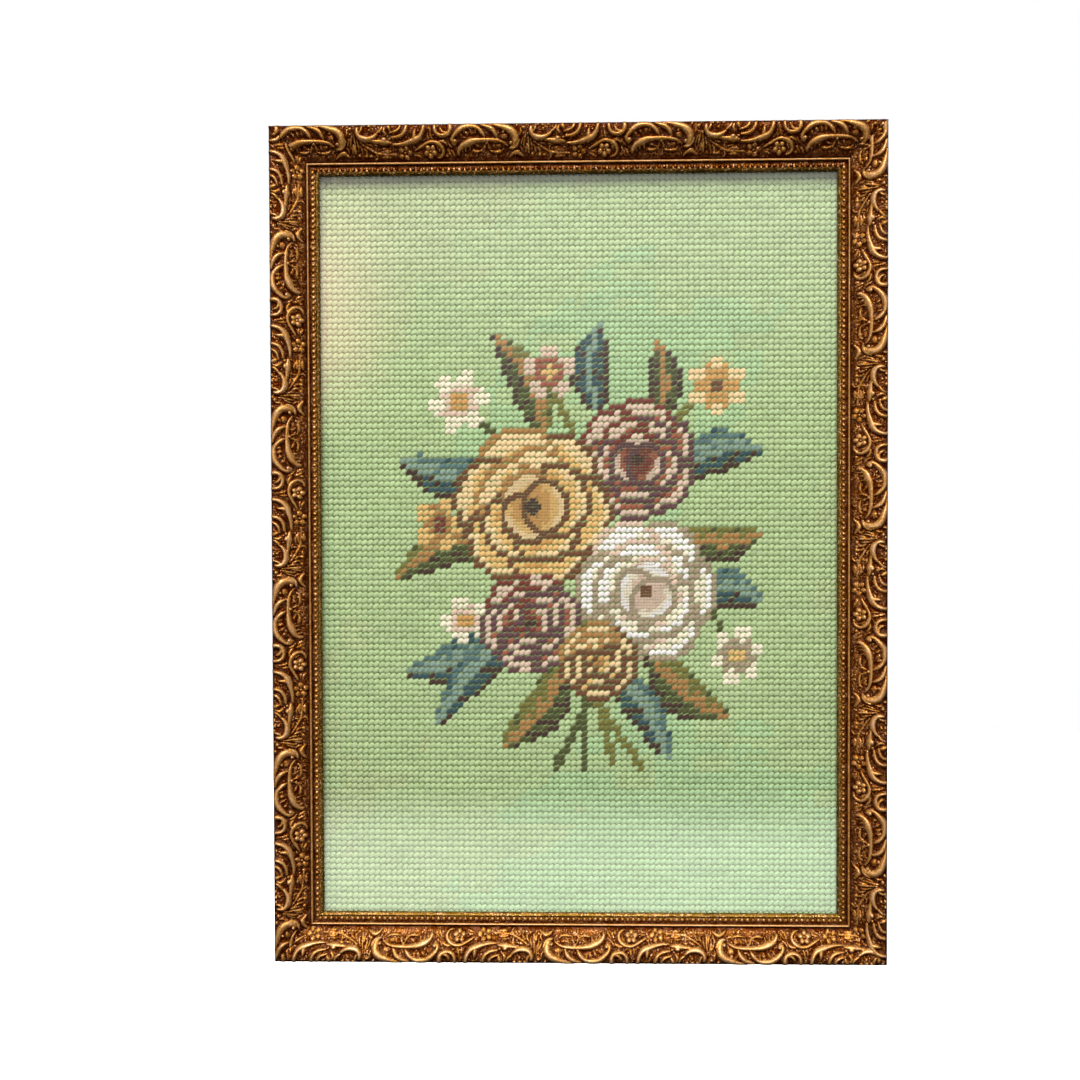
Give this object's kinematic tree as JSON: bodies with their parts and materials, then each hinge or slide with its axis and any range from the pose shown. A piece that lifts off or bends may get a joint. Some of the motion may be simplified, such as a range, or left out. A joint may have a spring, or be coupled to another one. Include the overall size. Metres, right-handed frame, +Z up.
{
  "type": "needlepoint picture in ornate frame",
  "caption": "Flat wool needlepoint of flowers on a pale green ground, behind glass in an ornate antique gold frame with carved scrolls and a beaded inner edge, hung on a wall.",
  "frame": {"origin": "middle of the top rail's back face, which bears on the wall", "axes": "+X to the viewer's right, +Y into the wall, +Z up; the picture faces -Y"},
  "size_m": [0.271, 0.0217, 0.3699],
  "materials": {
    "gilded_moulding": "carved wood under antique gold leaf with dark recesses",
    "clear_glass": "clear picture glass",
    "needlepoint_wool": "wool tent stitch on canvas",
    "brown_hardboard": "plain brown hardboard"
  },
  "bodies": {
    "root": {"rail_top": "gilded_moulding", "rail_bottom": "gilded_moulding", "rail_left": "gilded_moulding", "rail_right": "gilded_moulding", "glass_pane": "clear_glass", "needlepoint_sheet": "needlepoint_wool", "backing_board": "brown_hardboard"}
  },
  "joints": []
}
